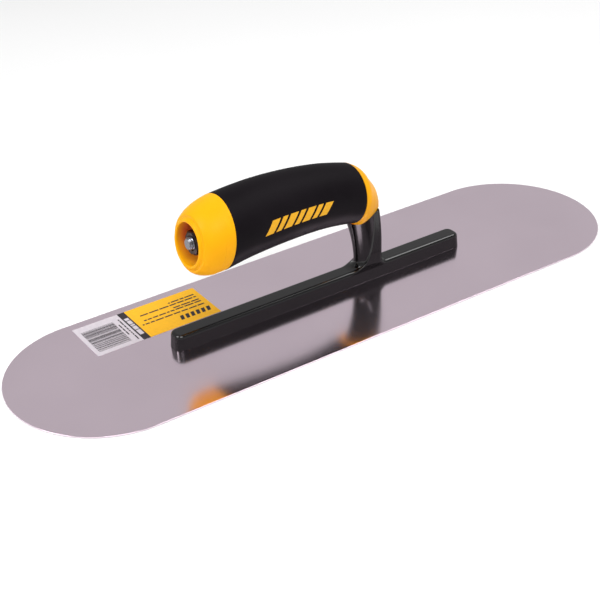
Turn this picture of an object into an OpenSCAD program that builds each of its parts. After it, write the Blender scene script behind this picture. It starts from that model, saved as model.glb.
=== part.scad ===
// Steel finishing trowel with a round-ended (pool) blade.
// Origin: centre of the underside of the blade. +X points to the front, where the shank rises.
// +Z points up, away from the surface being finished. Units are millimetres.

/* [Blade] */
// Length of the blade over its two round ends
blade_l = 406.4; // [300:0.1:560]
// Width of the blade
blade_w = 114.3; // [90:0.1:140]
// Thickness of the blade sheet
blade_t = 0.7; // [0.5:0.05:1.2]

/* [Mounting casting] */
// Length of the mounting bar along the blade
bar_l = 205; // [180:1:240]
// Width of the mounting bar at its foot
bar_w = 12.2; // [11.5:0.1:14]
// Height of the mounting bar above the blade
bar_h = 9.5; // [8:0.1:11]
// Distance of the bar's middle behind the middle of the blade
bar_back = 3; // [0:0.5:8]
// Thickness of the shank's web, across the blade
web_w = 11.8; // [10:0.1:12]
// Radius of the hollow fillet behind the shank
cove_r = 5; // [3:0.5:6]

/* [Blade studs] */
// Number of hidden studs between blade and bar
stud_count = 8; // [4:1:9]
// Diameter of each blade stud
stud_d = 5; // [3:0.1:6]
// Height of each blade stud above the blade
stud_h = 6.5; // [4:0.1:7]

/* [Handle] */
// Forward pitch of the handle's cross-sections, in degrees
handle_pitch = 7.5; // [6.5:0.1:8.5]
// Wall thickness of the soft grip
grip_wall = 2.8; // [2:0.1:3]
// Diameter of the open recess at the rear end
recess_d = 24; // [20:0.1:25]
// Depth of the rear recess
recess_depth = 14; // [12.5:0.1:16]
// Clearance between core and the parts inside it
core_gap = 0.2; // [0.1:0.05:0.3]

/* [Handle fasteners] */
// Diameter of the handle rod
rod_d = 7.9; // [6:0.1:8.4]
// Forward pitch of the handle rod, in degrees
rod_pitch = 4.5; // [4:0.1:5]
// Length of the rod that stands out of the nut
rod_stickout = 2.3; // [1:0.1:3]
// Width across the flats of the nut
nut_af = 12.7; // [12:0.1:14]
// Thickness of the nut
nut_t = 7.7; // [6:0.1:8]
// Outer diameter of the flat washer
washer_d = 17.5; // [15:0.1:19]
// Thickness of the flat washer
washer_t = 1.6; // [1:0.1:2]
// Outer diameter of the spring washer
spring_d = 14.9; // [13:0.1:16]
// Thickness of the spring washer
spring_t = 2; // [1.5:0.1:2.2]

/* [Label] */
// Length of the label along the blade
label_l = 80; // [60:1:90]
// Width of the label across the blade
label_w = 33.4; // [20:0.1:36]
// Thickness of the label film
label_t = 0.12; // [0.1:0.01:0.3]

/* [Hidden] */

$fn = 72;
slack = 1;                             // overlap of a cutting shape past the face it cuts
bar_top = blade_t + bar_h;             // height of the bar's flat top
bar_x0 = -bar_back - bar_l / 2;        // rear end of the bar
bar_draft = 0.6;                       // lean of the bar's sides over its height
bar_corner_r = 4.2;                    // plan radius of the bar's corners
bar_edge_r = 2;                        // rounding along the bar's top edges
arc_steps = 8;                         // straight steps in a quarter of a rounded edge

// Shank: a leaning round column behind a flat web, with a head that enters the handle
column_x0 = 27.9;                      // column axis inside the bar
column_x1 = 24.9;                      // column axis at the shoulder
column_z0 = 8;                         // height where the column starts
column_z1 = 47;                        // height where the column ends
neck_z = 18;                           // height of the column's narrowest place
neck_r = 5.8;                          // column radius there
flare = [0.09, 0.0032];                // linear and square growth of the radius above it
column_steps = 8;                      // conical steps in the column
cove_x = 27.3;                         // axis of the hollow fillet round the column
cove_r0 = 5.4;                         // radius of that fillet's top edge
cove_side = 1;                         // how far that fillet's sides stand back from the bar's
fillet_sink = 0.15;                    // how far a fillet sinks into the faces it joins
web_x1 = 37.6;                         // front face of the web
web_corner_r = 3;                      // rounding of the web's front corners
web_back_x = 31;                       // rear edge of the web at its top
web_sweep = 8.6;                       // how far that edge sweeps back on its way down to the bar
web_sweep_h = 8;                       // height over which the sweep dies away
web_steps = 12;                        // straight pieces along the swept edge
front_fillet_r = 3;                    // fillet between web and bar
shoulder_rear = [15.2, 42.7];          // rear edge of the shoulder, x and z
shoulder_front = [37.6, 46.5];         // front edge of the shoulder, x and z
head_x0 = 18;                          // rear face of the head
head_x1 = 30.5;                        // front face of the head
head_w = 12;                           // thickness of the head
head_r = 3;                            // plan radius of the head's corners
head_top = 60;                         // top of the head

// Handle: mouth centre, rod line and cross-sections
mouth = [-92, 0, 62.5];                // middle of the rear opening
rod_depth = 121;                       // reach of the rod in front of the mouth
lip_r = 12.5;                          // outer radius of the skin at the mouth
dome_s = 18;                           // length of the rear dome, up to the rear seam
dome_steps = 9;                        // rings in the rear dome
ring_sides = 36;                       // sides of each handle ring
span_steps = 3;                        // rings between two stations
axis_dir = [cos(handle_pitch), 0, -sin(handle_pitch)];
up_dir = [sin(handle_pitch), 0, cos(handle_pitch)];

// Stations of the arched body: distance from the mouth, height of the centre, radius
stations = [
    [dome_s, 4.0, 21.5],
    [32, 7.6, 21.0],
    [46, 10.3, 20.6],
    [61, 12.3, 20.0],
    [75, 13.5, 19.3],
    [88, 13.8, 18.7],
    [99, 12.9, 18.5],
    [107.3, 11.5, 18.7]
];

// Stations of the nose: outer point (x, z), inner point (x, z), half width, taper, squareness
nose_stations = [
    [23.2, 75.2, 14.4, 42.0, 18.1, 0.00, 2.0],
    [27.6, 69.6, 15.1, 42.3, 16.6, 0.03, 2.0],
    [31.3, 62.8, 15.4, 42.6, 14.3, 0.10, 2.1],
    [34.6, 56.2, 15.5, 42.7, 12.0, 0.18, 2.3],
    [36.8, 50.8, 15.4, 42.7, 10.0, 0.27, 2.6],
    [shoulder_front[0] - 0.1, shoulder_front[1], shoulder_rear[0], shoulder_rear[1], 8.8, 0.33, 2.9]
];

// Stack in the recess, as distances from the mouth along the rod
flat_washer_s = recess_depth - washer_t;
spring_washer_s = flat_washer_s - spring_t;
nut_s = spring_washer_s - nut_t;
rod_rear = nut_s - rod_stickout;

// Point on the smooth curve through four neighbours, t from 0 to 1 between the middle two
function curve_point(a, b, c, d, t) =
    0.5 * (2 * b + (c - a) * t + (2 * a - 5 * b + 4 * c - d) * t * t
    + (3 * b - a - 3 * c + d) * t * t * t);

// Neighbour i of a list, continued in a straight line past both ends
function neighbour(list, i) =
    i < 0 ? 2 * list[0] - list[1]
    : i >= len(list) ? 2 * list[len(list) - 1] - list[len(list) - 2]
    : list[i];

// Smooth curve through a list of stations, n steps between each two
function smooth(list, n) = concat(
    [for (i = [0 : len(list) - 2]) for (k = [0 : n - 1])
        curve_point(neighbour(list, i - 1), list[i], list[i + 1], neighbour(list, i + 2), k / n)],
    [list[len(list) - 1]]
);

// A section is its centre, its in-plane upward direction, its half height and half width,
// its taper towards the top and the power of its outline (2 is an ellipse)
function body_section(v) =
    [mouth + v[0] * axis_dir + v[1] * up_dir, up_dir, v[2], v[2], 0, 2];

function nose_section(v) =
    let (
        high = [v[0], 0, v[1]],
        low = [v[2], 0, v[3]],
        half = norm(high - low) / 2
    )
    [(high + low) / 2, (high - low) / (2 * half), half, v[4], v[5], v[6]];

// The same section, drawn in by a distance all round
function inset(section, d) =
    [section[0], section[1], section[2] - d, section[3] - d, section[4], section[5]];

// Sine or cosine raised so that a circle becomes a squarer outline
function squared(v, power) = sign(v) * pow(abs(v), 2 / power);

// Points of one section, anticlockwise seen from the rear
function ring(section) = [
    for (k = [0 : ring_sides - 1])
        let (
            a = 360 * k / ring_sides,
            up = squared(sin(a), section[5]),
            across = squared(cos(a), section[5]) * (1 - section[4] * up)
        )
        section[0] + section[1] * (section[2] * up) + [0, section[3] * across, 0]
];

dome_sections = [
    for (k = [0 : dome_steps - 1])
        let (a = 90 * (1 - k / dome_steps), near = pow(cos(a), 1.1))
        body_section([
            dome_s * (1 - sin(a)),
            stations[0][1] * pow(1 - sin(a), 1.3),
            lip_r + (stations[0][2] - lip_r) * near
        ])
];
body_sections = [for (v = smooth(stations, span_steps)) body_section(v)];
rear_seam = body_sections[0];
front_seam = body_sections[len(body_sections) - 1];
front_seam_high = front_seam[0] + front_seam[1] * front_seam[2];
front_seam_low = front_seam[0] - front_seam[1] * front_seam[2];
nose_curve = smooth(
    concat(
        [[front_seam_high[0], front_seam_high[2], front_seam_low[0], front_seam_low[2],
            front_seam[3], 0, 2]],
        nose_stations
    ), 2);
nose_sections = [for (i = [1 : len(nose_curve) - 1]) nose_section(nose_curve[i])];
inner_sections = [for (section = body_sections) inset(section, grip_wall)];

// Closed skin over a list of sections. A loop joins its last section to its first.
module skin(sections, looped = false) {
    count = len(sections);
    spans = looped ? count : count - 1;
    points = [for (section = sections) for (p = ring(section)) p];
    sides = [
        for (i = [0 : spans - 1]) for (k = [0 : ring_sides - 1])
            let (j = (i + 1) % count, m = (k + 1) % ring_sides)
            [i * ring_sides + k, j * ring_sides + k, j * ring_sides + m, i * ring_sides + m]
    ];
    caps = looped ? [] : [
        [for (k = [0 : ring_sides - 1]) k],
        [for (k = [ring_sides - 1 : -1 : 0]) (count - 1) * ring_sides + k]
    ];
    polyhedron(points, concat(sides, caps), convexity = 6);
}

// Moves a shape drawn along +Z from the origin onto the rod line, s in front of the mouth
module on_rod(s) {
    translate(mouth)
        rotate([0, 90 + rod_pitch, 0])
            translate([0, 0, s])
                children();
}

// Flat rectangle with rounded corners, from corner to corner
module rounded_rect(x0, x1, half_w, r) {
    translate([x0, -half_w + r])
        square([x1 - x0, 2 * (half_w - r)]);
    translate([x0 + r, -half_w])
        square([x1 - x0 - 2 * r, 2 * half_w]);
    for (x = [x0 + r, x1 - r], y = [r - half_w, half_w - r])
        translate([x, y])
            circle(r);
}

// Drafted profile with a rounded top: half width at foot, half width at top, height
function crowned_profile(foot, top, height, r) = concat(
    [[-foot, 0], [foot, 0]],
    [for (k = [0 : arc_steps]) let (a = 90 * k / arc_steps)
        [top - r + r * cos(a), height - r + r * sin(a)]],
    [for (k = [0 : arc_steps]) let (a = 90 + 90 * k / arc_steps)
        [-top + r + r * cos(a), height - r + r * sin(a)]]
);

module blade() {
    straight = blade_l - blade_w;
    color([0.71, 0.65, 0.69])
        linear_extrude(blade_t) {
            square([straight, blade_w], center = true);
            for (side = [-1, 1])
                translate([side * straight / 2, 0])
                    circle(d = blade_w, $fn = 180);
        }
}

// The bar is the common part of its plan, its cross-section and its side view
module bar() {
    translate([0, 0, blade_t])
        intersection() {
            linear_extrude(bar_h)
                rounded_rect(bar_x0, bar_x0 + bar_l, bar_w / 2, bar_corner_r);
            translate([bar_x0 - slack, 0, 0])
                rotate([90, 0, 90])
                    linear_extrude(bar_l + 2 * slack)
                        polygon(crowned_profile(bar_w / 2, bar_w / 2 - bar_draft, bar_h, bar_edge_r));
            translate([bar_x0 + bar_l / 2, bar_w, 0])
                rotate([90, 0, 0])
                    linear_extrude(2 * bar_w)
                        polygon(crowned_profile(bar_l / 2, bar_l / 2 - bar_draft, bar_h, bar_edge_r));
        }
}

// Radius of the column at a height: slightly conical in the bar, then a trumpet
function column_r(z) =
    let (t = z - neck_z)
    t < 0 ? neck_r + flare[0] * t / 2 : neck_r + flare[0] * t + flare[1] * t * t;

module column() {
    rise = column_z1 - column_z0;
    lean = atan2(column_x0 - column_x1, rise);
    profile = concat(
        [[0, 0]],
        [for (k = [0 : column_steps]) let (h = rise * k / column_steps) [column_r(column_z0 + h), h]],
        [[0, rise]]
    );
    translate([column_x0, 0, column_z0])
        rotate([0, -lean, 0])
            rotate_extrude()
                polygon(profile);
}

// Hollow fillet round the back of the column, cut to a little less than the bar's width
module cove() {
    foot = bar_top - bar_edge_r;
    outer_r = cove_r0 + cove_r;
    centre_z = bar_top + cove_r - fillet_sink;
    half_w = bar_w / 2 - cove_side;
    intersection() {
        translate([cove_x, 0, 0])
            rotate_extrude()
                difference() {
                    translate([0, foot])
                        square([outer_r, centre_z - foot]);
                    translate([outer_r, centre_z])
                        circle(cove_r);
                }
        translate([cove_x - 2 * outer_r, -half_w, 0])
            cube([2 * outer_r, 2 * half_w, column_z1]);
    }
}

// Rear edge of the web at a height
function web_back(z) = web_back_x - web_sweep * exp((bar_top - z) / web_sweep_h);

module web() {
    foot = blade_t + bar_h / 2;
    top = bar_top + shoulder_front[1];
    rise = shoulder_front[1] - bar_top;
    swept = [for (i = [web_steps : -1 : 0])
        let (z = bar_top + rise * pow(i / web_steps, 2))
        [web_back(z), z]];
    intersection() {
        translate([0, 0, foot])
            linear_extrude(top)
                rounded_rect(web_back(bar_top) - web_corner_r, web_x1, web_w / 2, web_corner_r);
        translate([0, bar_w, 0])
            rotate([90, 0, 0])
                linear_extrude(2 * bar_w)
                    polygon(concat(
                        [[web_back(bar_top), 0], [web_x1 + slack, 0], [web_x1 + slack, top]],
                        [[web_back_x, top]],
                        swept
                    ));
    }
    front_fillet();
}

// Fillet between the web's front face and the top of the bar
module front_fillet() {
    reach = web_corner_r + front_fillet_r;
    rise = slack + front_fillet_r;
    half_w = bar_w / 2 - bar_edge_r;
    translate([web_x1 - web_corner_r, half_w, bar_top - slack])
        rotate([90, 0, 0])
            linear_extrude(2 * half_w)
                difference() {
                    square([reach, rise]);
                    translate([reach, rise] - [fillet_sink, fillet_sink])
                        circle(front_fillet_r);
                }
}

// Everything above the sloping shoulder that the handle's nose rests on
module above_shoulder() {
    slope = atan2(shoulder_front[1] - shoulder_rear[1], shoulder_front[0] - shoulder_rear[0]);
    translate([shoulder_rear[0], 0, shoulder_rear[1]])
        rotate([0, -slope, 0])
            translate([-bar_l / 2, -bar_w, 0])
                cube([bar_l, 2 * bar_w, head_top]);
}

// Head of the shank, drawn out by a gap for the pocket that receives it
module head(gap = 0) {
    translate([0, 0, shoulder_rear[1] - 2 * slack])
        linear_extrude(head_top + gap - shoulder_rear[1] + 2 * slack)
            rounded_rect(head_x0 - gap, head_x1 + gap, head_w / 2 + gap, head_r + gap);
}

module mounting_casting() {
    color([0.10, 0.09, 0.10])
        difference() {
            union() {
                bar();
                cove();
                difference() {
                    union() {
                        column();
                        web();
                    }
                    above_shoulder();
                }
                head();
            }
            for (i = [1 : stud_count])
                stud_place(i)
                    cylinder(d = stud_d, h = stud_h);
            on_rod(rod_rear)
                cylinder(d = rod_d, h = rod_depth - rod_rear);
        }
}

module stud_place(i) {
    pitch = bar_l / stud_count;
    translate([bar_x0 + (i - 0.5) * pitch, 0, blade_t])
        children();
}

module blade_stud(i) {
    color([0.62, 0.62, 0.64])
        stud_place(i)
            cylinder(d = stud_d, h = stud_h);
}

module handle_rod() {
    chamfer = 0.8;
    color([0.72, 0.73, 0.75])
        on_rod(rod_rear) {
            cylinder(d1 = rod_d - 2 * chamfer, d2 = rod_d, h = chamfer);
            translate([0, 0, chamfer])
                cylinder(d = rod_d, h = rod_depth - rod_rear - chamfer);
        }
}

module handle_core() {
    color([0.98, 0.70, 0.10])
        difference() {
            skin(concat(
                dome_sections,
                [rear_seam],
                inner_sections,
                [front_seam],
                nose_sections
            ));
            on_rod(-slack)
                cylinder(d = recess_d, h = recess_depth + slack);
            on_rod(0)
                cylinder(d = rod_d + 2 * core_gap, h = rod_depth);
            head(core_gap);
        }
}

module grip_sleeve() {
    count = len(inner_sections);
    color([0.14, 0.13, 0.14])
        skin(concat(
            body_sections,
            [for (i = [count - 1 : -1 : 0]) inner_sections[i]]
        ), looped = true);
}

module flat_washer() {
    color([0.25, 0.24, 0.26])
        on_rod(flat_washer_s)
            difference() {
                cylinder(d = washer_d, h = washer_t);
                translate([0, 0, -slack])
                    cylinder(d = rod_d + 2 * core_gap, h = washer_t + 2 * slack);
            }
}

module spring_washer() {
    gap_w = 1.5;
    color([0.25, 0.24, 0.26])
        on_rod(spring_washer_s)
            difference() {
                cylinder(d = spring_d, h = spring_t);
                translate([0, 0, -slack])
                    cylinder(d = rod_d + 2 * core_gap, h = spring_t + 2 * slack);
                translate([0, -gap_w / 2, -slack])
                    cube([spring_d, gap_w, spring_t + 2 * slack]);
            }
}

module rod_nut() {
    color([0.25, 0.24, 0.26])
        on_rod(nut_s)
            difference() {
                cylinder(d = nut_af / cos(30), h = nut_t, $fn = 6);
                translate([0, 0, -slack])
                    cylinder(d = rod_d, h = nut_t + 2 * slack);
            }
}

module label() {
    label_x = -103;
    label_y = 34.6;
    color([0.98, 0.72, 0.12])
        translate([label_x, label_y, blade_t + label_t / 2])
            cube([label_l, label_w, label_t], center = true);
}

blade();
mounting_casting();
for (i = [1 : stud_count]) blade_stud(i);
handle_rod();
handle_core();
grip_sleeve();
flat_washer();
spring_washer();
rod_nut();
label();
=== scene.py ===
import math
import random

import bpy
import numpy as np
from mathutils import Matrix, Vector


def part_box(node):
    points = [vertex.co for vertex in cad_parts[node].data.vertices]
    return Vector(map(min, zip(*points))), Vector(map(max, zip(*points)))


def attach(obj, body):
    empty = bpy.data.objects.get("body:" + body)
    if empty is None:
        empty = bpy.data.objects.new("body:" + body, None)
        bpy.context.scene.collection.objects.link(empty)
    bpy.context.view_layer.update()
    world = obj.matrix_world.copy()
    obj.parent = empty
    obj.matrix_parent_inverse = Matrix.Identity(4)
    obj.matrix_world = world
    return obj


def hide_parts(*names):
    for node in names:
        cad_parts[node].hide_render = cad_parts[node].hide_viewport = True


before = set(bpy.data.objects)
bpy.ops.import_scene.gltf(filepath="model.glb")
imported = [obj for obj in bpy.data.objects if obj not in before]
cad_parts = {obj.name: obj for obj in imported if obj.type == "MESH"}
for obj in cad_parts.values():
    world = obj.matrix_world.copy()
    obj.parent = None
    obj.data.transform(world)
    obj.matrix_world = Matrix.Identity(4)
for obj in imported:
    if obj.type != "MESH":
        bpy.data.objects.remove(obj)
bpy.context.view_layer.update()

# Steel finishing trowel with a round-ended blade. Shapes are worked out in millimetres in the
# CAD frame: +X to the front, +Z up, origin in the middle of the blade's underside.
MM = 0.001


def cad_corners(node):
    """Lowest and highest corner of a CAD node, in millimetres."""
    low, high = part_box(node)
    return np.array(low) / MM, np.array(high) / MM


# ---------------------------------------------------------------- mesh helpers

def make_piece(name, points, faces, material, slot, replaces=(), normals=None, sharp=40):
    """One object riding on the trowel's only body. Points are in millimetres."""
    mesh = bpy.data.meshes.new(name)
    mesh.from_pydata((np.asarray(points, float) * MM).tolist(), [], faces)
    mesh.validate()
    mesh.polygons.foreach_set("use_smooth", [True] * len(mesh.polygons))
    if normals is not None:
        mesh.normals_split_custom_set_from_vertices(np.asarray(normals).tolist())
    elif sharp:
        mesh.set_sharp_from_angle(angle=math.radians(sharp))
    mesh.materials.append(material)
    mesh.update()
    piece = bpy.data.objects.new(name, mesh)
    bpy.context.scene.collection.objects.link(piece)
    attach(piece, "root")
    if replaces:
        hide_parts(*replaces)
    return piece


def loft(rings, looped=False, caps=True):
    """Points and quads through rings of equal length. The ends are closed with one face each."""
    rings = [np.asarray(r, float) for r in rings]
    sides, count = len(rings[0]), len(rings)
    faces = []
    for i in range(count if looped else count - 1):
        j = (i + 1) % count
        for k in range(sides):
            m = (k + 1) % sides
            faces.append((i * sides + k, j * sides + k, j * sides + m, i * sides + m))
    if caps and not looped:
        faces.append(tuple(range(sides)))
        faces.append(tuple((count - 1) * sides + k for k in reversed(range(sides))))
    return np.concatenate(rings), faces


def catmull_rom(stations, steps):
    """Smooth curve through the stations, with a number of steps between each two."""
    p = np.asarray(stations, float)
    p = np.vstack([2 * p[0] - p[1], p, 2 * p[-1] - p[-2]])
    t = (np.arange(steps) / steps)[:, None]
    out = []
    for a, b, c, d in zip(p, p[1:], p[2:], p[3:]):
        out.append(0.5 * (2 * b + (c - a) * t + (2 * a - 5 * b + 4 * c - d) * t**2
                          + (3 * b - a - 3 * c + d) * t**3))
    return np.vstack(out + [p[-2:-1]])


def prism(outline, z0, z1):
    """Flat plate between two heights over an outline given anticlockwise from above."""
    outline = np.asarray(outline, float)
    n = len(outline)
    points = [np.column_stack([outline, np.full(n, z)]) for z in (z0, z1)]
    faces = [tuple(reversed(range(n))), tuple(range(n, 2 * n))]
    for k in range(n):
        m = (k + 1) % n
        faces.append((k, m, n + m, n + k))
    return np.vstack(points), faces


def join(parts):
    """Several (points, faces) pairs as one."""
    points, faces, start = [], [], 0
    for p, f in parts:
        points.append(np.asarray(p, float))
        faces += [tuple(i + start for i in face) for face in f]
        start += len(p)
    return np.vstack(points), faces


def surface_net(field, xs, ys, zs, relax=6, final=3):
    """Closed quad mesh and normals on the zero surface of field(points), which is negative inside.
    The grid lines may be unevenly spaced. The points are evened out in `relax` rounds and then
    pulled onto the true surface in `final` rounds."""
    axes = [np.asarray(a, float) for a in (xs, ys, zs)]
    shape = tuple(len(a) for a in axes)
    grid = np.stack(np.meshgrid(*axes, indexing="ij"), -1)
    value = field(grid.reshape(-1, 3)).reshape(shape)
    inside = value < 0
    cells = tuple(n - 1 for n in shape)
    total, weight = np.zeros(cells + (3,)), np.zeros(cells)
    quads = []
    for axis in range(3):
        u, v = (axis + 1) % 3, (axis + 2) % 3
        low = [slice(None)] * 3
        high = [slice(None)] * 3
        low[axis], high[axis] = slice(0, -1), slice(1, None)
        low, high = tuple(low), tuple(high)
        i, j, k = np.nonzero(inside[low] != inside[high])
        start = np.stack([i, j, k], 1)
        end = start.copy()
        end[:, axis] += 1
        a, b = value[tuple(start.T)], value[tuple(end.T)]
        t = (a / (a - b))[:, None]
        crossing = grid[tuple(start.T)] * (1 - t) + grid[tuple(end.T)] * t
        around = []
        for du, dv in ((0, 0), (-1, 0), (-1, -1), (0, -1)):
            cell = start.copy()
            cell[:, u] += du
            cell[:, v] += dv
            np.add.at(total, tuple(cell.T), crossing)
            np.add.at(weight, tuple(cell.T), 1)
            around.append(np.ravel_multi_index(tuple(cell.T), cells))
        around = np.stack(around, 1)
        around[a > 0] = around[a > 0][:, ::-1]
        quads.append(around)
    quads = np.vstack(quads)
    used, faces = np.unique(quads, return_inverse=True)
    faces = faces.reshape(quads.shape)
    points = (total.reshape(-1, 3) / np.maximum(weight.reshape(-1, 1), 1))[used]

    def slope(p, step=0.02):
        return np.stack([(field(p + d) - field(p - d)) / (2 * step) for d in np.eye(3) * step], 1)

    def settle(p):
        g = slope(p)
        return p - g * (field(p) / np.maximum((g * g).sum(1), 1e-6))[:, None]

    for _ in range(relax):
        mean, count = np.zeros_like(points), np.zeros(len(points))
        for a in range(4):
            np.add.at(mean, faces[:, a], points[faces[:, a - 1]])
            np.add.at(count, faces[:, a], 1)
            np.add.at(mean, faces[:, a - 1], points[faces[:, a]])
            np.add.at(count, faces[:, a - 1], 1)
        points = settle(points + 0.5 * (mean / count[:, None] - points))
    for _ in range(final):
        points = settle(points)
    normals = slope(points)
    normals /= np.linalg.norm(normals, axis=1)[:, None]
    return points, faces.tolist(), normals


# ---------------------------------------------------------------- materials

class Nodes:
    """Short forms for building a material's node tree."""

    def __init__(self, name):
        self.material = bpy.data.materials.new(name)
        self.material.use_nodes = True
        self.tree = self.material.node_tree
        self.shader = self.tree.nodes["Principled BSDF"]
        self.place = self.node("ShaderNodeTexCoord").outputs["Object"]

    def node(self, kind, **inputs):
        made = self.tree.nodes.new(kind)
        for key, value in inputs.items():
            self.put(made, key.replace("_", " "), value)
        return made

    def put(self, node, key, value):
        if isinstance(value, bpy.types.NodeSocket):
            self.tree.links.new(value, node.inputs[key])
        else:
            node.inputs[key].default_value = value

    def set(self, **inputs):
        for key, value in inputs.items():
            self.put(self.shader, key.replace("_", " "), value)

    def stretched(self, scale):
        """Object coordinates in metres, scaled separately along each axis."""
        node = self.node("ShaderNodeVectorMath")
        node.operation = "MULTIPLY"
        self.put(node, 0, self.place)
        node.inputs[1].default_value = scale
        return node.outputs[0]

    def noise(self, scale, detail=3.0, rough=0.5, stretch=(1, 1, 1)):
        node = self.node("ShaderNodeTexNoise", Vector=self.stretched(stretch), Scale=scale,
                         Detail=detail, Roughness=rough)
        return node.outputs["Fac"]

    def spread(self, value, low, high, from_low=0.3, from_high=0.7):
        node = self.node("ShaderNodeMapRange", Value=value)
        for key, number in (("From Min", from_low), ("From Max", from_high),
                            ("To Min", low), ("To Max", high)):
            self.put(node, key, number)
        return node.outputs["Result"]

    def along(self, axis):
        """One object coordinate of the shaded point, in metres."""
        return self.node("ShaderNodeSeparateXYZ", Vector=self.place).outputs[axis]

    def distance_from_rod(self):
        """Distance of the shaded point from the rod's centre line."""
        offset = self.node("ShaderNodeVectorMath")
        offset.operation = "SUBTRACT"
        self.put(offset, 0, self.place)
        offset.inputs[1].default_value = MOUTH * MM
        across = self.node("ShaderNodeVectorMath")
        across.operation = "CROSS_PRODUCT"
        self.put(across, 0, offset.outputs[0])
        across.inputs[1].default_value = rod_frame()[0]
        length = self.node("ShaderNodeVectorMath")
        length.operation = "LENGTH"
        self.put(length, 0, across.outputs[0])
        return length.outputs["Value"]

    def mix(self, share, a, b):
        node = self.tree.nodes.new("ShaderNodeMix")
        node.data_type = "RGBA"
        self.put(node, 0, share)
        for socket, colour in ((6, a), (7, b)):
            if isinstance(colour, bpy.types.NodeSocket):
                self.tree.links.new(colour, node.inputs[socket])
            else:
                node.inputs[socket].default_value = (*colour, 1)
        return node.outputs[2]

    def bump(self, height, strength, distance, under=None):
        node = self.node("ShaderNodeBump", Height=height, Strength=strength, Distance=distance)
        if under is not None:
            self.put(node, "Normal", under)
        return node.outputs["Normal"]


def blade_steel():
    """Satin stainless sheet: long faint polishing lines and a slight cloudiness."""
    n = Nodes("blade_steel")
    lines = n.noise(60, 4, 0.6, (1.5, 60, 60))
    clouds = n.noise(14, 3, 0.5)
    n.set(
        Base_Color=n.mix(n.spread(clouds, 0, 1), (0.885, 0.738, 0.835), (0.938, 0.783, 0.885)),
        Metallic=1.0,
        Roughness=n.spread(lines, 0.14, 0.17),
        Normal=n.bump(lines, 0.015, 0.00002),
    )
    return n.material


def casting_black():
    """Gloss black paint with a faint ripple."""
    n = Nodes("casting_black")
    ripple = n.noise(160, 2, 0.5)
    clouds = n.noise(30, 3, 0.5)
    n.set(
        Base_Color=n.mix(n.spread(clouds, 0, 1), (0.002, 0.0015, 0.002), (0.003, 0.0025, 0.003)),
        Roughness=n.spread(clouds, 0.13, 0.19),
        Specular_IOR_Level=0.55,
        Normal=n.bump(ripple, 0.03, 0.0003),
    )
    return n.material


def core_yellow():
    """Semi-gloss moulded plastic: a fine grain and slight flow marks. The walls of the rear
    recess carry painted shade: a redder colour that stands for shade and for light bounced
    inside the recess, strongest higher up. All places are in metres."""
    recess_r, recess_floor_x, recess_z = (0.01188, 0.01199), (-0.072, -0.071), (0.050, 0.060)
    n = Nodes("core_yellow")
    flow = n.noise(25, 3, 0.55, (0.5, 1, 1))
    grain = n.noise(2600, 2, 0.6)
    skin = n.mix(n.spread(flow, 0, 1), (0.93, 0.405, 0.003), (0.95, 0.435, 0.005))
    # painted shade: a mask for the recess walls that grows with height, standing for shade and light
    # bounced inside the recess
    recess_shade_by_height = n.spread(n.along("Z"), 0.3, 1, *recess_z)
    recess_shade_near_rod = n.spread(n.distance_from_rod(), recess_shade_by_height, 0, *recess_r)
    inside = n.spread(n.along("X"), recess_shade_near_rod, 0, *recess_floor_x)
    n.set(
        # the second colour is the painted shade of the recess walls, not a different plastic
        Base_Color=n.mix(inside, skin, (0.86, 0.18, 0.045)),
        Roughness=n.spread(flow, 0.36, 0.44),
        Specular_IOR_Level=0.09,
        Subsurface_Weight=0.06,
        Subsurface_Scale=0.002,
        Normal=n.bump(grain, 0.06, 0.00008),
    )
    n.shader.inputs["Subsurface Radius"].default_value = (1.0, 0.45, 0.1)
    return n.material


def grip_black():
    """Matt soft elastomer with a fine spark-eroded grain."""
    n = Nodes("grip_black")
    grain = n.noise(1500, 3, 0.6)
    clouds = n.noise(40, 3, 0.5)
    n.set(
        Base_Color=n.mix(n.spread(clouds, 0, 1), (0.0055, 0.004, 0.0055), (0.008, 0.006, 0.008)),
        Roughness=n.spread(clouds, 0.50, 0.58),
        Specular_IOR_Level=0.06,
        Normal=n.bump(grain, 0.12, 0.00012),
    )
    return n.material


def metal(name, dark, light, rough, scale=90, stretch=(1, 1, 1)):
    """Small steel part whose colour and gloss vary a little."""
    n = Nodes(name)
    patches = n.noise(scale, 4, 0.6, stretch)
    n.set(
        Base_Color=n.mix(n.spread(patches, 0, 1), dark, light),
        Metallic=1.0,
        Roughness=n.spread(patches, rough - 0.06, rough + 0.06),
        Normal=n.bump(n.noise(900, 3, 0.5), 0.08, 0.00008),
    )
    return n.material


def dark_oxide():
    """Blackened steel that has worn bright in patches."""
    n = Nodes("fastener_dark")
    wear = n.noise(420, 5, 0.65)
    n.set(
        Base_Color=n.mix(n.spread(wear, 0, 1, 0.52, 0.74),
                         (0.030, 0.022, 0.022), (0.16, 0.11, 0.09)),
        Metallic=1.0,
        Roughness=n.spread(wear, 0.26, 0.42),
        Normal=n.bump(n.noise(1300, 3, 0.5), 0.10, 0.00008),
    )
    return n.material


def ink(name, colour, rough=0.45, darker=0.9):
    """Printed film: nearly even colour with a slight mottle."""
    n = Nodes(name)
    mottle = n.noise(700, 3, 0.6)
    shade = tuple(c * darker for c in colour)
    n.set(
        Base_Color=n.mix(n.spread(mottle, 0, 1), shade, colour),
        Roughness=n.spread(mottle, rough, rough + 0.08),
        Specular_IOR_Level=0.2,
        Normal=n.bump(mottle, 0.03, 0.00003),
    )
    return n.material


def floor_white():
    n = Nodes("floor_white")
    n.set(Base_Color=n.mix(n.spread(n.noise(3, 2), 0, 1), (0.88, 0.88, 0.88), (0.90, 0.90, 0.90)),
          Roughness=0.9, Specular_IOR_Level=0.1)
    return n.material


# ---------------------------------------------------------------- blade

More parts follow.
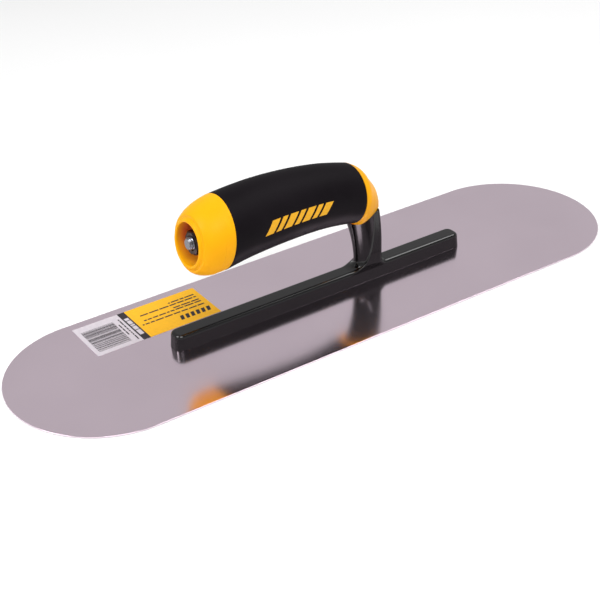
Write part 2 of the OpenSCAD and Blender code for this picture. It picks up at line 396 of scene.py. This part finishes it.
BLADE_HIGH = cad_corners("blade")[1]
BLADE_TOP = BLADE_HIGH[2]
BLADE_EDGE_R = 0.18                # rounding of the blade's rim
BLADE_ARC = 96                     # points round each half-round end
BLADE_INSETS = [54, 40, 25, 12, 4, 1]  # rings of the flat faces, measured from the rim


def stadium(inset, z):
    """Outline of the blade drawn in by a distance, at a height."""
    radius = BLADE_HIGH[1] - inset
    end = BLADE_HIGH[0] - BLADE_HIGH[1]
    turn = np.linspace(-math.pi / 2, math.pi / 2, BLADE_ARC)
    arc = np.column_stack([end + radius * np.cos(turn), radius * np.sin(turn)])
    flat = np.vstack([arc, -arc])
    return np.column_stack([flat, np.full(len(flat), z)])


def build_blade(material):
    edge = [(BLADE_EDGE_R * (1 - math.sin(a)), BLADE_EDGE_R * (1 - math.cos(a)))
            for a in np.radians([0, 30, 60, 90])]
    rings = [stadium(d, 0) for d in BLADE_INSETS]
    rings += [stadium(d, z) for d, z in edge]
    rings += [stadium(d, BLADE_TOP - z) for d, z in reversed(edge)]
    rings += [stadium(d, BLADE_TOP) for d in reversed(BLADE_INSETS)]
    points, faces = loft([r[::-1] for r in rings])
    return make_piece("trowel_blade", points, faces, material, "blade_steel", ["blade"])


# ---------------------------------------------------------------- mounting casting

CAST_LOW, CAST_HIGH = cad_corners("mounting_casting")
BAR_HALF_L = (CAST_HIGH[0] - CAST_LOW[0]) / 2
BAR_MIDDLE = (CAST_HIGH[0] + CAST_LOW[0]) / 2
BAR_HALF_W = 6.1                   # half width of the bar at its foot
BAR_H = 9.5
BAR_TOP = BLADE_TOP + BAR_H
BAR_DRAFT = 0.6
BAR_CORNER_R = 4.2
BAR_EDGE_R = 2.0
FOOT_R = 0.3                       # rounding of the bar's foot

# Oval column of the shank. Growth rates are per millimetre of height, the second ones per square.
NECK_Z = 17.0                      # its narrowest height
NECK_X, NECK_HALF_X, NECK_HALF_Y = 28.2, 7.4, 5.3
COLUMN_LEAN = 0.0055               # its axis bends back above the neck
COLUMN_FLARE_X, COLUMN_FLARE_Y = 0.075, 0.0037
COLUMN_FOOT = 0.08                 # how its section narrows below the neck
COLUMN_SLOPE, COLUMN_SLOPE_UP = 0.09, 0.005

# Web in front of the column
SIDE_Y = 5.95                      # its flat sides
WEB_BACK, WEB_FRONT = 31.2, 38.1
WEB_SWEEP, WEB_SWEEP_H = 8.8, 8.0  # its rear edge sweeps back towards the bar
WEB_LEAN, WEB_LEAN_Z = 0.0037, 23.0  # its front face curves back above this height
WEB_CORNER_R, WEB_BACK_R = 3.0, 0.5
CREASE_R = 0.8                     # soft hollow between column and web

# Fillet between the shank and the bar
REAR_FILLET_R, FRONT_FILLET_R = 5.4, 3.0
FILLET_BLEND_X, FILLET_BLEND_L = 27.0, 8.0  # where one radius changes into the other
FILLET_FLOOR = 1.0                 # the fillet ends this far above the blade
SIDE_EDGE_R = 0.4                  # crisp edge where the fillet meets the flat sides
SIDE_INSET, SIDE_SPARE = 0.03, 0.08  # keep the fillet's sides clear of the bar's and the web's
SIDE_RISE, SIDE_RISE_Z = 0.18, 8.0  # the fillet's sides open out from here up to the web's
SIDE_OPEN, SIDE_OPEN_Z = 0.2, 18.5  # and further from here, past the column

# Shoulder that the nose rests on, and the head inside the handle
SHOULDER_REAR, SHOULDER_FRONT = np.array([15.2, 42.7]), np.array([37.6, 46.5])
SHOULDER_R = 0.6
HEAD_BACK, HEAD_FRONT, HEAD_HALF_W, HEAD_R, HEAD_TOP = 18.0, 30.5, 6.0, 3.0, 60.0
HEAD_EDGE_R, HEAD_SINK = 1.0, 2.0


def round_max(a, b, r):
    """Common part of two solids, its edge rounded."""
    return np.minimum(np.maximum(a, b), -r) + np.hypot(np.maximum(a + r, 0), np.maximum(b + r, 0))


def round_min(a, b, r):
    """Union of two solids with a hollow fillet between them."""
    return np.maximum(np.minimum(a, b), r) - np.hypot(np.maximum(r - a, 0), np.maximum(r - b, 0))


def plan_distance(x, y, middle, half_x, half_y, r):
    """Distance to an upright rounded rectangle, seen from above."""
    u, v = np.abs(x - middle) - (half_x - r), np.abs(y) - (half_y - r)
    return np.hypot(np.maximum(u, 0), np.maximum(v, 0)) + np.minimum(np.maximum(u, v), 0) - r


def bar_field(x, y, z):
    lean = BAR_DRAFT * (z - BLADE_TOP) / BAR_H
    plan = plan_distance(x, y, BAR_MIDDLE, BAR_HALF_L - lean, BAR_HALF_W - lean, BAR_CORNER_R)
    body = round_max(plan, z - BAR_TOP, BAR_EDGE_R)
    return round_max(body, BLADE_TOP - z, FOOT_R)


def column_field(x, y, z):
    """Oval column that leans back and opens out upwards like a trumpet."""
    up = np.maximum(z - NECK_Z, 0)
    down = np.maximum(NECK_Z - 1 - z, 0)
    axis = NECK_X - COLUMN_LEAN * up * up
    half_x = NECK_HALF_X + COLUMN_FLARE_X * up - COLUMN_FOOT * down
    half_y = NECK_HALF_Y + COLUMN_FLARE_Y * up * up
    u, v = (x - axis) / half_x, y / half_y
    k = np.hypot(u, v)
    gradient = np.maximum(np.hypot(u / half_x, v / half_y), 1e-6)
    return k * (k - 1) / gradient / np.hypot(1, COLUMN_SLOPE + COLUMN_SLOPE_UP * up)


def web_field(x, y, z):
    """Flat plate with a rear edge that sweeps back at its foot and a front that leans at its top."""
    sweep = WEB_SWEEP * np.exp((BAR_TOP - z) / WEB_SWEEP_H)
    back = (WEB_BACK - sweep - x) / np.hypot(1, sweep / WEB_SWEEP_H)
    lean = WEB_LEAN * np.maximum(z - WEB_LEAN_Z, 0) ** 2
    plate = round_max(np.abs(y) - SIDE_Y, back, WEB_BACK_R)
    return round_max(plate, x - WEB_FRONT + lean, WEB_CORNER_R)


def head_field(x, y, z):
    middle, half = (HEAD_BACK + HEAD_FRONT) / 2, (HEAD_FRONT - HEAD_BACK) / 2
    plan = plan_distance(x, y, middle, half, HEAD_HALF_W, HEAD_R)
    return np.maximum(round_max(plan, z - HEAD_TOP, HEAD_EDGE_R), SHOULDER_REAR[1] - HEAD_SINK - z)


def casting_field(p):
    x, y, z = p.T
    bar = bar_field(x, y, z)
    upright = round_min(column_field(x, y, z), web_field(x, y, z), CREASE_R)
    slope = (SHOULDER_FRONT - SHOULDER_REAR) / np.linalg.norm(SHOULDER_FRONT - SHOULDER_REAR)
    above = (z - SHOULDER_REAR[1]) * slope[0] - (x - SHOULDER_REAR[0]) * slope[1]
    upright = round_max(upright, above, SHOULDER_R)
    share = np.clip((x - FILLET_BLEND_X) / FILLET_BLEND_L, 0, 1)
    share = share * share * (3 - 2 * share)
    fillet_r = REAR_FILLET_R + (FRONT_FILLET_R - REAR_FILLET_R) * share
    flush = BAR_HALF_W - SIDE_INSET - BAR_DRAFT * (z - BLADE_TOP) / BAR_H
    side = np.minimum(flush + SIDE_RISE * np.maximum(z - SIDE_RISE_Z, 0), SIDE_Y + SIDE_SPARE)
    side = side + SIDE_OPEN * np.maximum(z - SIDE_OPEN_Z, 0)
    shank = round_max(round_min(upright, bar, fillet_r), np.abs(y) - side, SIDE_EDGE_R)
    shank = np.maximum(shank, BLADE_TOP + FILLET_FLOOR - z)
    return np.minimum(np.minimum(bar, shank), head_field(x, y, z))


def stepped(*spans):
    """Grid lines from (start, end, spacing) spans that follow each other."""
    lines = []
    for start, end, spacing in spans:
        n = max(1, round((end - start) / spacing))
        lines.append(np.linspace(start, end, n, endpoint=False))
    return np.concatenate(lines + [[spans[-1][1]]])


def build_casting(material):
    """The grid is fine round the shank and the bar's ends, and coarse along the straight bar."""
    back, front = BAR_MIDDLE - BAR_HALF_L, BAR_MIDDLE + BAR_HALF_L
    xs = stepped((back - 0.6, back + 5.4, 0.4), (back + 5.4, 6, 4.0), (6, 14, 0.6), (14, 39, 0.35),
                 (39, 45, 0.6), (45, front - 5.4, 4.0), (front - 5.4, front + 0.6, 0.4))
    ys = stepped((-12, -7, 0.4), (-7, -4, 0.25), (-4, 4, 0.5), (4, 7, 0.25), (7, 12, 0.4))
    zs = stepped((BLADE_TOP - 0.35, 1.75, 0.2), (1.75, 7.5, 0.82), (7.5, 17, 0.3),
                 (17, 41, 0.45), (41, 47.5, 0.3), (47.5, 61, 0.9))
    points, faces, normals = surface_net(casting_field, xs, ys, zs)
    return make_piece("mounting_bar_and_shank", points, faces, material, "casting_black",
                      ["mounting_casting"], normals=normals)


# ---------------------------------------------------------------- handle

PITCH = math.radians(7.5)
ROD_PITCH = math.radians(4.5)
MOUTH = np.array([-92.0, 0, 62.5])
AXIS = np.array([math.cos(PITCH), 0, -math.sin(PITCH)])
UP = np.array([math.sin(PITCH), 0, math.cos(PITCH)])
ACROSS = np.array([0, 1.0, 0])
SIDES = 120                        # points round each handle ring
GRIP_WALL = 2.8
RECESS_R, RECESS_DEPTH = 12.0, 14.0
LIP_R = 12.5                       # radius of the skin at the mouth
LIP_W, LIP_S = 1.0, 0.75           # width and depth of the rounded lip
DOME_S = 18.0                      # length of the rear dome, up to the rear seam
DOME_LIFT_POWER, DOME_POWER = 1.3, 1.1  # how its centre and its radius grow
GROOVE_R, GROOVE_W = 14.8, 0.85    # groove that sets the lip off from the dome
GROOVE_DEPTH, GROOVE_PINCH = 0.9, 0.10
MOULD_STEP, MOULD_STEP_S, MOULD_STEP_W = 0.25, 12.2, 0.12  # fine step of the mould's parting
SEAM_GAP = 0.35                    # depth of the groove at both seams
# Distance from the mouth, height of the section's centre, radius
STATIONS = [
    (18, 4.0, 21.5), (32, 7.6, 21.0), (46, 10.3, 20.6), (61, 12.3, 20.0),
    (75, 13.5, 19.3), (88, 13.8, 18.7), (99, 12.9, 18.5), (107.3, 11.5, 18.7),
]
SEAM_S = STATIONS[-1][0]
TUCK_S = 84.0                      # the underside starts to rise here
# Nose: outer point x, z; inner point x, z; half width; taper towards the top; squareness
NOSE = [
    (23.2, 75.2, 14.5, 43.0, 18.1, 0.00, 2.0),
    (27.4, 69.5, 15.0, 42.85, 16.5, 0.05, 2.0),
    (32.0, 63.1, 15.3, 42.75, 14.3, 0.12, 2.1),
    (35.2, 56.6, 15.4, 42.7, 11.7, 0.24, 2.2),
    (37.3, 51.2, 15.3, 42.7, 9.2, 0.42, 2.4),
    (38.0, 46.6, 15.1, 42.7, 7.7, 0.56, 2.7),
]
BODY = catmull_rom(STATIONS, 24)
TURN = np.linspace(0, 2 * math.pi, SIDES, endpoint=False)


def ring(centre, up, half_h, half_w, taper=0.0, power=2.0):
    """Closed section: an ellipse, or a squarer and tapering outline."""
    rise = np.sign(np.sin(TURN)) * np.abs(np.sin(TURN)) ** (2 / power)
    side = np.sign(np.cos(TURN)) * np.abs(np.cos(TURN)) ** (2 / power) * (1 - taper * rise)
    return centre + np.outer(rise * half_h, up) + np.outer(side * half_w, ACROSS)


def body_at(s):
    """Centre height, half height and half width of the arched body, s in front of the mouth.
    Its underside rises a little towards the front seam."""
    tuck = (max(s - TUCK_S, 0) / (SEAM_S - TUCK_S)) ** 2
    r = np.interp(s, BODY[:, 0], BODY[:, 2])
    return np.interp(s, BODY[:, 0], BODY[:, 1]) + tuck, r - tuck, r


def body_ring(s, inset=0.0):
    h, half_h, half_w = body_at(s)
    return ring(MOUTH + s * AXIS + h * UP, UP, half_h - inset, half_w - inset)


def dome_radius(a):
    return LIP_R + (STATIONS[0][2] - LIP_R) * math.cos(a) ** DOME_POWER


def dome_ring(a):
    """Ring of the rear dome, from the lip at a = 90 degrees to the seam at 0, with the groove
    round the lip and the fine mould step before the seam on the lower half."""
    s = DOME_S * (1 - math.sin(a))
    h = STATIONS[0][1] * (1 - math.sin(a)) ** DOME_LIFT_POWER
    r = dome_radius(a)
    groove = GROOVE_DEPTH * math.exp(-(((r - GROOVE_R) / GROOVE_W) ** 2))
    step = MOULD_STEP / (1 + math.exp(-(s - MOULD_STEP_S) / MOULD_STEP_W))
    lower = np.clip(0.3 - np.sin(TURN), 0, 0.5) * 2
    radius = r - GROOVE_PINCH * groove - step * lower
    centre = MOUTH + (s + groove) * AXIS + h * UP
    return centre + np.outer(radius * np.sin(TURN), UP) + np.outer(radius * np.cos(TURN), ACROSS)


def rod_frame():
    axis = np.array([math.cos(ROD_PITCH), 0, -math.sin(ROD_PITCH)])
    return axis, np.array([math.sin(ROD_PITCH), 0, math.cos(ROD_PITCH)])


def rod_ring(s, r, angles=TURN):
    """Circle round the rod line, s in front of the mouth."""
    axis, up = rod_frame()
    s, r = np.broadcast_to(s, angles.shape), np.broadcast_to(r, angles.shape)
    return (MOUTH + np.outer(s, axis) + np.outer(r * np.sin(angles), up)
            + np.outer(r * np.cos(angles), ACROSS))


def nose_ring(v):
    high, low = np.array([v[0], 0, v[1]]), np.array([v[2], 0, v[3]])
    half = np.linalg.norm(high - low) / 2
    return ring((high + low) / 2, (high - low) / (2 * half), half, v[4], v[5], v[6])


def recess_rings():
    """Rings of the bore, the recess floor with its rounded corner, and the drafted wall."""
    bore_r, bore_end, chamfer = 4.15, 104.0, 0.3
    floor_r, corner_r, draft = 10.9, 0.8, 0.3
    wall_r = floor_r + corner_r
    rings = [rod_ring(bore_end, bore_r), rod_ring(RECESS_DEPTH + chamfer, bore_r)]
    rings += [rod_ring(RECESS_DEPTH, r) for r in (bore_r + chamfer, 8.0, floor_r)]
    rings += [rod_ring(RECESS_DEPTH - corner_r + corner_r * math.cos(a),
                       floor_r + corner_r * math.sin(a)) for a in np.radians([30, 60, 90])]
    rings += [rod_ring(s, wall_r + draft * (RECESS_DEPTH - s) / RECESS_DEPTH)
              for s in (11, 8, 5, 3, 1.6)]
    return rings


def lip_rings():
    """Rounded lip, and then the dome as far as the rear seam."""
    rings = []
    for a in np.radians([0, 15, 30, 45, 60, 75, 90]):
        radius = RECESS_R + LIP_W * (1 - math.cos(a))
        rings.append(ring(MOUTH + LIP_S * (1 - math.sin(a)) * AXIS, UP, radius, radius))
    dome_start = RECESS_R + LIP_W + 0.12
    dome_angles = np.radians(np.linspace(90, 0, 130))
    return rings + [dome_ring(a) for a in dome_angles if dome_radius(a) > dome_start]


def nose_rings():
    """Nose from the front seam to its rim, the rim's rounding, and the pocket for the head."""
    h, half_h, r = body_at(SEAM_S)
    seam = MOUTH + SEAM_S * AXIS + h * UP
    high, low = seam + half_h * UP, seam - half_h * UP
    stations = catmull_rom([(high[0], high[2], low[0], low[2], r, 0, 2.0)] + NOSE, 9)
    rings = [nose_ring(v) for v in stations]
    rim, rim_r, rim_drop = stations[-1], 0.5, 0.15
    slope = (rim[:2] - rim[2:4]) / np.linalg.norm(rim[:2] - rim[2:4])
    for a in np.radians([25, 50, 75, 90]):
        tuck, drop = rim_r * (1 - math.cos(a)), rim_r * math.sin(a)
        v = rim.copy()
        v[:2] -= slope * tuck
        v[2:4] += slope * tuck
        v[[1, 3]] -= rim_drop * drop
        v[4] -= tuck
        rings.append(nose_ring(v))
    gap, squareness = 0.2, 5.0
    middle, half = (HEAD_BACK + HEAD_FRONT) / 2, (HEAD_FRONT - HEAD_BACK) / 2 + gap
    lift = (middle - SHOULDER_REAR[0]) * slope[1] / slope[0]
    for z, way in ((SHOULDER_REAR[1] + lift, slope), (HEAD_TOP + gap, (1.0, 0.0))):
        rings.append(ring(np.array([middle, 0, z]), np.array([way[0], 0, way[1]]),
                          half, HEAD_HALF_W + gap, 0, squareness))
    return rings


def build_core(material):
    rings = recess_rings() + lip_rings()
    rings += [body_ring(DOME_S, SEAM_GAP), body_ring(DOME_S, GRIP_WALL)]
    rings += [body_ring(s, GRIP_WALL) for s in np.arange(DOME_S + 3, SEAM_S - 1, 3)]
    rings += [body_ring(SEAM_S, GRIP_WALL), body_ring(SEAM_S, SEAM_GAP)]
    rings += nose_rings()
    points, faces = loft([r[::-1] for r in rings])
    return make_piece("handle_body", points, faces, material, "core_yellow", ["handle_core"], sharp=50)


def build_grip(material):
    """Closed sleeve with rounded ends that stand a hair's breadth off the seams."""
    r, gap, bond = 0.55, 0.06, 0.02
    rings = []
    bend = np.radians([0, 18, 36, 54, 72, 90])
    for a in bend:
        rings.append(body_ring(DOME_S + gap + r * (1 - math.cos(a)), r * (1 - math.sin(a))))
    for s in np.arange(DOME_S + 2, SEAM_S - 1.5, 1.5):
        rings.append(body_ring(s))
    for a in bend[::-1]:
        rings.append(body_ring(SEAM_S - gap - r * (1 - math.cos(a)), r * (1 - math.sin(a))))
    for s in np.linspace(SEAM_S - gap, DOME_S + gap, 31):
        rings.append(body_ring(s, GRIP_WALL - bond))
    points, faces = loft([x[::-1] for x in rings], looped=True)
    return make_piece("soft_grip", points, faces, material, "grip_black", ["grip_sleeve"], sharp=50)


def grip_point(s, turn, lift):
    """Point on the grip's surface, turn in radians as in a ring, lifted off it."""
    h, half_h, half_w = body_at(s)
    rise, side = (half_h + lift) * math.sin(turn), (half_w + lift) * math.cos(turn)
    return MOUTH + s * AXIS + (h + rise) * UP + side * ACROSS


def surface_bar(corners, lift=0.045, root=0.15, cells=(4, 8)):
    """Thin raised patch on the grip over four (s, degrees) corners: two at the foot, two at the
    top. It reaches down into the grip by its root."""
    (s0, t0), (s1, t1), (s2, t2), (s3, t3) = corners
    nu, nv = cells
    points, faces = [], []
    for level in (-root, lift):
        for i in range(nu + 1):
            for j in range(nv + 1):
                u, v = i / nu, j / nv
                s = (1 - u) * (1 - v) * s0 + u * (1 - v) * s1 + u * v * s2 + (1 - u) * v * s3
                t = (1 - u) * (1 - v) * t0 + u * (1 - v) * t1 + u * v * t2 + (1 - u) * v * t3
                points.append(grip_point(s, math.radians(t), level))
    row, layer = nv + 1, (nu + 1) * (nv + 1)
    for i in range(nu):
        for j in range(nv):
            a = i * row + j
            faces.append((a, a + 1, a + row + 1, a + row))
            b = a + layer
            faces.append((b, b + row, b + row + 1, b + 1))
    rim = [i * row for i in range(nu)] + [nu * row + j for j in range(nv)]
    rim += [i * row + nv for i in range(nu, 0, -1)] + [j for j in range(nv, 0, -1)]
    for a, b in zip(rim, rim[1:] + rim[:1]):
        faces.append((a, b, b + layer, a + layer))
    return points, faces


def build_emblem(material):
    """Plain slanted bars printed on the grip's near side. Lengths are in millimetres from the
    mouth, foot and top in degrees round the section."""
    start, end, foot, top = 37.0, 83.0, 186.5, 165.5
    slant = 4.5
    widths = [5.2, 3.4, 5.2, 3.4, 5.2, 3.4, 5.2]
    gap = (end - start - slant - sum(widths)) / (len(widths) - 1)
    parts, s = [], start
    for w in widths:
        parts.append(surface_bar([(s, foot), (s + w, foot), (s + w + slant, top), (s + slant, top)]))
        s += w + gap
    points, faces = join(parts)
    return make_piece("grip_stripes", points, faces, material, "core_yellow", sharp=30)


# ---------------------------------------------------------------- rod, nut and washers

ROD_R, ROD_REAR, ROD_LENGTH = 3.75, 0.4, 120.6
THREAD_PITCH, THREAD_DEPTH, THREAD_L = 1.25, 0.55, 14.0
THREAD_STEPS = 10                  # rings to each turn of the thread
NUT_AF, NUT_T = 12.7, 7.7
FLAT_T, SPRING_T = 1.6, 2.0
WASHER_BORE_R = ROD_R + 0.25
FLAT_S = RECESS_DEPTH - FLAT_T     # places of the stack, measured from the mouth along the rod
SPRING_S = FLAT_S - SPRING_T
NUT_S = SPRING_S - NUT_T


def build_rod(material):
    """Rod with a chamfered, threaded rear end."""
    turns = np.linspace(0, 2 * math.pi, 48, endpoint=False)
    rear_chamfer, front_chamfer = 0.9, 0.8
    flank, crest = 1.25, 0.1           # steepness of the thread's sides, share of flat crest
    rings = [rod_ring(ROD_REAR + 0.05, 1.0, turns), rod_ring(ROD_REAR, 2.3, turns)]
    for d in np.arange(0, THREAD_L, THREAD_PITCH / THREAD_STEPS):
        phase = (d / THREAD_PITCH - turns / (2 * math.pi)) % 1
        ridge = 1 - np.clip(np.abs(phase - 0.5) * 2 * flank - crest, 0, 1)
        radius = ROD_R - THREAD_DEPTH * (1 - ridge)
        cone = ROD_R - rear_chamfer + d
        rings.append(rod_ring(ROD_REAR + d, np.minimum(radius, cone), turns))
    for d in (THREAD_L, ROD_LENGTH - 1):
        rings.append(rod_ring(ROD_REAR + d, ROD_R, turns))
    rings.append(rod_ring(ROD_REAR + ROD_LENGTH, ROD_R - front_chamfer, turns))
    points, faces = loft([r[::-1] for r in rings])
    return make_piece("handle_rod_threaded", points, faces, material, "rod_zinc",
                      ["handle_rod"], sharp=35)


def build_nut(material):
    """Hexagon nut, chamfered on both faces, with a countersunk bore."""
    per_side, turned, bevel = 12, math.radians(12), math.radians(30)
    turns = np.linspace(0, 2 * math.pi, 6 * per_side, endpoint=False)
    flat_turn = (turns + turned) % (math.pi / 3) - math.pi / 6
    hexagon = NUT_AF / 2 / np.cos(flat_turn)
    face_r = NUT_AF / 2 * 0.93
    drop = (hexagon - face_r) * math.tan(bevel)
    bore = ROD_R - 0.35
    profile = [
        (1.0, bore), (0.15, bore + 0.75), (0, bore + 0.9), (0, face_r), (drop, hexagon),
        (NUT_T - drop, hexagon), (NUT_T, face_r), (NUT_T, bore + 0.7), (NUT_T - 0.7, bore),
    ]
    points, faces = loft([rod_ring(NUT_S + s, r, turns)[::-1] for s, r in profile], looped=True)
    return make_piece("hex_nut", points, faces, material, "fastener_dark", ["rod_nut"], sharp=20)


def washer_profile(outer, t, edge=0.2, lift=0.0):
    """(s, radius) corners of a washer's section with its edges broken."""
    inner = WASHER_BORE_R
    corners = [(0, inner + edge), (0, outer - edge), (edge, outer), (t - edge, outer),
               (t, outer - edge), (t, inner + edge), (t - edge, inner), (edge, inner)]
    return [(s + lift, r) for s, r in corners]


def build_flat_washer(material):
    turns = np.linspace(0, 2 * math.pi, 96, endpoint=False)
    rings = [rod_ring(FLAT_S + s, r, turns)[::-1] for s, r in washer_profile(8.75, FLAT_T)]
    points, faces = loft(rings, looped=True)
    return make_piece("washer_flat", points, faces, material, "fastener_dark",
                      ["flat_washer"], sharp=30)


def build_spring_washer(material):
    """Split ring whose ends stand a little apart along the rod."""
    outer, t, rise, gap = 7.45, 1.55, 0.4, math.radians(9)
    rings = []
    for a in np.linspace(gap / 2, 2 * math.pi - gap / 2, 97):
        section = washer_profile(outer, t, lift=rise * (a / (2 * math.pi)))
        s, r = np.array(section).T
        rings.append(rod_ring(SPRING_S + s, r, np.full(len(section), a)))
    points, faces = loft(rings)
    return make_piece("washer_spring", points, faces, material, "fastener_dark",
                      ["spring_washer"], sharp=30)


# ---------------------------------------------------------------- label

LABEL_LOW, LABEL_HIGH = cad_corners("label")
PRINT_T = 0.02                     # thickness of a printed layer
PANEL_END, BAND_END = 0.584, 0.641  # rear ends of the yellow panel and of the black band
PRINT_HALF = 0.018                 # half height of a line of print
BAR_UNIT = 0.008                   # thinnest bar of the bar pattern


def label_box(u0, u1, v0, v1, layer=1, slant=0.0):
    """Printed patch. u runs from the label's front end to its rear end, v across it."""
    size = LABEL_HIGH - LABEL_LOW
    x0, x1 = LABEL_HIGH[0] - u1 * size[0], LABEL_HIGH[0] - u0 * size[0]
    y0, y1 = LABEL_LOW[1] + v0 * size[1], LABEL_LOW[1] + v1 * size[1]
    z = LABEL_HIGH[2] + PRINT_T * (layer - 1)
    outline = [(x0, y0), (x1, y0), (x1 + slant, y1), (x0 + slant, y1)]
    return prism(outline, z - PRINT_T / 2, z + PRINT_T)


def dashes(rng, u0, u1, v0, v1, along_u=True):
    """A row of short blocks between two ends, like a line of small print seen from afar.
    Each block is as long as two to seven letters, and less than a letter apart from the next."""
    parts = []
    place, end = (u0, u1) if along_u else (v0, v1)
    unit = 0.011 if along_u else 0.024
    while place < end - unit:
        word = min(place + unit * rng.randint(2, 7), end)
        if along_u:
            parts.append(label_box(place, word, v0, v1, 2))
        else:
            parts.append(label_box(u0, u1, place, word, 2))
        place = word + unit * 0.8
    return parts


def label_print(rng):
    """Black print: band, slanted bars, lines of blocks and a pattern of bars."""
    parts = [label_box(PANEL_END, BAND_END, 0, 1)]
    for k in range(6):
        u = 0.045 + 0.044 * k
        parts.append(label_box(u, u + 0.028, 0.16, 0.30, 2, slant=1.2))
    for v, u_end in ((0.417, 0.556), (0.530, 0.530), (0.600, 0.26), (0.706, 0.53), (0.79, 0.26)):
        parts += dashes(rng, 0.042, u_end, v - PRINT_HALF, v + PRINT_HALF)
    parts += dashes(rng, 0.660, 0.670, 0.08, 0.88, along_u=False)
    parts += dashes(rng, 0.688, 0.698, 0.30, 0.68, along_u=False)
    v = 0.11
    while v < 0.83:
        thick = BAR_UNIT * rng.choice([1, 1, 2, 3])
        parts.append(label_box(0.713, 0.968, v, v + thick, 1))
        v += thick + BAR_UNIT * rng.choice([1, 1, 2])
    return parts


def build_label(white, yellow, black):
    rng = random.Random(11)
    base = prism([(LABEL_LOW[0], LABEL_LOW[1]), (LABEL_HIGH[0], LABEL_LOW[1]),
                  (LABEL_HIGH[0], LABEL_HIGH[1]), (LABEL_LOW[0], LABEL_HIGH[1])],
                 BLADE_TOP, LABEL_HIGH[2])
    make_piece("label_base", *base, white, "label_film", ["label"], sharp=30)
    panel = label_box(0, PANEL_END, 0, 1)
    make_piece("label_yellow_panel", *panel, yellow, "label_film", sharp=30)
    make_piece("label_black_print", *join(label_print(rng)), black, "label_film", sharp=30)
    marks = dashes(rng, 0.596, 0.629, 0.18, 0.79, along_u=False)
    make_piece("label_white_marks", *join(marks), white, "label_film", sharp=30)


# ---------------------------------------------------------------- stage, light and camera

def aim(piece, towards):
    """Turns an object's -Z axis along a direction."""
    piece.rotation_mode = "QUATERNION"
    piece.rotation_quaternion = Vector(towards).to_track_quat("-Z", "Y")


def add_area(name, direction, distance, size, power, target=(0, 0, 0.02)):
    light = bpy.data.lights.new(name, "AREA")
    light.shape = "RECTANGLE"
    light.size, light.size_y = size
    light.energy = power
    lamp = bpy.data.objects.new(name, light)
    bpy.context.scene.collection.objects.link(lamp)
    way = Vector(direction).normalized()
    lamp.location = Vector(target) + way * distance
    aim(lamp, -way)
    return lamp


def shade_studio(tree):
    """Even white surroundings with a round, darker patch of ceiling above the camera's right.
    The patch fades between two cosines of the angle from its middle."""
    patch_middle, patch_cosines = (0.492, -0.413, 0.766), (0.935, 0.98)
    white, dark = 0.5, 0.04
    background = tree.nodes["Background"]
    towards = tree.nodes.new("ShaderNodeVectorMath")
    towards.operation = "DOT_PRODUCT"
    towards.inputs[1].default_value = patch_middle
    tree.links.new(tree.nodes.new("ShaderNodeTexCoord").outputs["Generated"], towards.inputs[0])
    level = tree.nodes.new("ShaderNodeMapRange")
    level.interpolation_type = "SMOOTHSTEP"
    for key, number in (("From Min", patch_cosines[0]), ("From Max", patch_cosines[1]),
                        ("To Min", white), ("To Max", dark)):
        level.inputs[key].default_value = number
    tree.links.new(towards.outputs["Value"], level.inputs["Value"])
    tree.links.new(level.outputs["Result"], background.inputs["Strength"])
    background.inputs["Color"].default_value = (1, 1, 1, 1)


def build_stage():
    """White floor, white surroundings and three softboxes. Lengths are in metres."""
    half, below_sole = 30.0, 0.0002
    points = [(-half, -half), (half, -half), (half, half), (-half, half)]
    mesh = bpy.data.meshes.new("floor")
    mesh.from_pydata([(x, y, 0) for x, y in points], [], [(0, 1, 2, 3)])
    mesh.materials.append(floor_white())
    floor = bpy.data.objects.new("floor", mesh)
    floor.location.z = -below_sole
    bpy.context.scene.collection.objects.link(floor)

    world = bpy.data.worlds.new("studio")
    world.use_nodes = True
    shade_studio(world.node_tree)
    bpy.context.scene.world = world
    bpy.context.scene.view_settings.view_transform = "Standard"

    add_area("key_softbox", (-0.71, 0.12, 0.69), 1.3, (0.46, 0.46), 6.4)
    add_area("side_softbox", (-0.24, -0.50, 0.83), 1.5, (0.66, 0.60), 7.5)
    add_area("overhead_softbox", (0.48, -0.10, 0.88), 1.5, (0.75, 0.75), 9.5)


def build_camera():
    azimuth, elevation, roll = math.radians(-33.81), math.radians(31.09), math.radians(-1.62)
    distance, target = 0.7555, Vector((-0.0183, 0.0017, 0.0))
    back = Vector((math.sin(azimuth) * math.cos(elevation),
                   -math.cos(azimuth) * math.cos(elevation), math.sin(elevation)))
    right = (-back).cross(Vector((0, 0, 1))).normalized()
    up = right.cross(-back)
    c, s = math.cos(roll), math.sin(roll)
    right, up = right * c + up * s, up * c - right * s
    data = bpy.data.cameras.new("camera")
    data.sensor_width, data.lens = 36, 76.5
    data.clip_start, data.clip_end = 0.01, 50
    camera = bpy.data.objects.new("camera", data)
    bpy.context.scene.collection.objects.link(camera)
    turn = Matrix((right, up, back)).transposed().to_4x4()
    camera.matrix_world = Matrix.Translation(target + back * distance) @ turn
    bpy.context.scene.camera = camera


build_camera()
build_stage()
build_blade(blade_steel())
build_casting(casting_black())
yellow_plastic = core_yellow()
build_core(yellow_plastic)
build_grip(grip_black())
build_emblem(ink("ink_orange", (0.90, 0.45, 0.02), 0.5))
build_rod(metal("rod_zinc", (0.17, 0.175, 0.20), (0.25, 0.255, 0.28), 0.3, 300))
fasteners = dark_oxide()
build_nut(fasteners)
build_flat_washer(fasteners)
build_spring_washer(fasteners)
build_label(ink("film_white", (0.62, 0.57, 0.62)), ink("film_yellow", (0.92, 0.48, 0.02)),
            ink("ink_black", (0.035, 0.03, 0.035), 0.5))
stud_metal = metal("stud_steel", (0.40, 0.40, 0.42), (0.50, 0.50, 0.52), 0.35, 200)
for name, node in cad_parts.items():
    if name.startswith("blade_stud"):
        node.data.materials.clear()
        node.data.materials.append(stud_metal)
